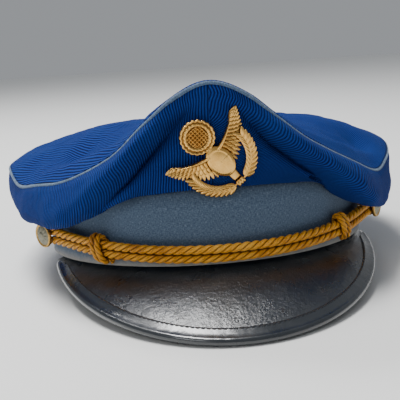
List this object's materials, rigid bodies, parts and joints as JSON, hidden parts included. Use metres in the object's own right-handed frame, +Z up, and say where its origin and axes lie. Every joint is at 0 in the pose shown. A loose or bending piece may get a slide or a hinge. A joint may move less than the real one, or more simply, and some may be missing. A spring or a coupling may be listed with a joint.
{
  "type": "peaked cap",
  "caption": "Soft-topped peaked cap with stiffened front, wool band, glossy visor, twisted chin cord with sliding knots, side buttons and a turning front badge.",
  "frame": {"origin": "centre of the bounding box at its base, on the surface the cap rests on", "axes": "+Z up, -Y the way the visor points, +X to the right seen from the front; the cap rests tipped back on the visor's edge and the band's back"},
  "size_m": [0.2506, 0.3002, 0.1148],
  "materials": {
    "crown_cloth": "ribbed royal blue wool twill",
    "band_wool": "heathered grey-blue plain weave",
    "piping_cord": "grey-blue corded piping",
    "buckram": "stiffened canvas",
    "spring_steel": "satin",
    "satin": "satin lining",
    "clear_film": "clear flexible film",
    "fibre_board": "pressed fibre",
    "sweat_leather": "smooth",
    "reed_plastic": "smooth",
    "bow_ribbon": "ribbon",
    "patent_leather": "high gloss patent",
    "visor_under": "matt",
    "gold_cord": "twisted rayon",
    "gilt": "satin gilt",
    "dull_gilt": "tarnished",
    "nut_brass": "knurled"
  },
  "bodies": {
    "cap": {"quarter_front_left": "crown_cloth", "quarter_front_right": "crown_cloth", "quarter_back_left": "crown_cloth", "quarter_back_right": "crown_cloth", "crown_top": "crown_cloth", "crown_piping": "piping_cord", "front_stiffener": "buckram", "front_stay": "spring_steel", "lining_side": "satin", "lining_top": "satin", "sweat_shield": "clear_film", "badge_eyelet": "nut_brass", "badge_eyelet_washer": "nut_brass", "band_cloth": "band_wool", "band_stiffener": "fibre_board", "sweatband": "sweat_leather", "sweatband_reed": "reed_plastic", "sweatband_bow": "bow_ribbon", "side_eyelet_left": "nut_brass", "side_eyelet_right": "nut_brass", "visor_shell": "patent_leather", "visor_core": "fibre_board", "visor_lining": "visor_under", "visor_binding": "patent_leather", "chin_cord": "gold_cord"},
    "badge": {"badge_wings": "gilt", "badge_medallion": "gilt", "badge_boss": "gilt", "badge_wreath": "gilt", "badge_post": "nut_brass"},
    "badge_nut": {"badge_nut": "nut_brass"},
    "knot_left": {"knot_left": "gold_cord"},
    "knot_right": {"knot_right": "gold_cord"},
    "button_left": {"button_left_cap": "dull_gilt", "button_left_back": "gilt"},
    "button_left_nut": {"button_left_nut": "nut_brass"},
    "button_right": {"button_right_cap": "dull_gilt", "button_right_back": "gilt"},
    "button_right_nut": {"button_right_nut": "nut_brass"}
  },
  "joints": [
    {"name": "badge_turn", "type": "hinge", "parent": "cap", "child": "badge", "pos_m": [0, -0.09575, 0.08021], "axis": [0, -0.9974, -0.0717], "continuous": true},
    {"name": "badge_nut_turn", "type": "hinge", "parent": "badge", "child": "badge_nut", "pos_m": [0, -0.09575, 0.08021], "axis": [0, -0.9974, -0.0717], "continuous": true},
    {"name": "button_left_turn", "type": "hinge", "parent": "cap", "child": "button_left", "pos_m": [-0.09527, -0.04011, 0.03138], "axis": [-0.788, -0.6154, -0.0183], "continuous": true},
    {"name": "button_left_nut_turn", "type": "hinge", "parent": "button_left", "child": "button_left_nut", "pos_m": [-0.09527, -0.04011, 0.03138], "axis": [-0.788, -0.6154, -0.0183], "continuous": true},
    {"name": "button_right_turn", "type": "hinge", "parent": "cap", "child": "button_right", "pos_m": [0.09527, -0.04011, 0.03138], "axis": [0.788, -0.6154, -0.0183], "continuous": true},
    {"name": "button_right_nut_turn", "type": "hinge", "parent": "button_right", "child": "button_right_nut", "pos_m": [0.09527, -0.04011, 0.03138], "axis": [0.788, -0.6154, -0.0183], "continuous": true},
    {"name": "knot_left_slide", "type": "hinge", "parent": "cap", "child": "knot_left", "pos_m": [0.00885, 0.00568, 0.03274], "axis": [0, -0.0297, 0.9996], "range_deg": [-7.5, 9.7]},
    {"name": "knot_right_slide", "type": "hinge", "parent": "cap", "child": "knot_right", "pos_m": [-0.00885, 0.00568, 0.03274], "axis": [0, -0.0297, 0.9996], "range_deg": [-9.7, 7.5]}
  ]
}
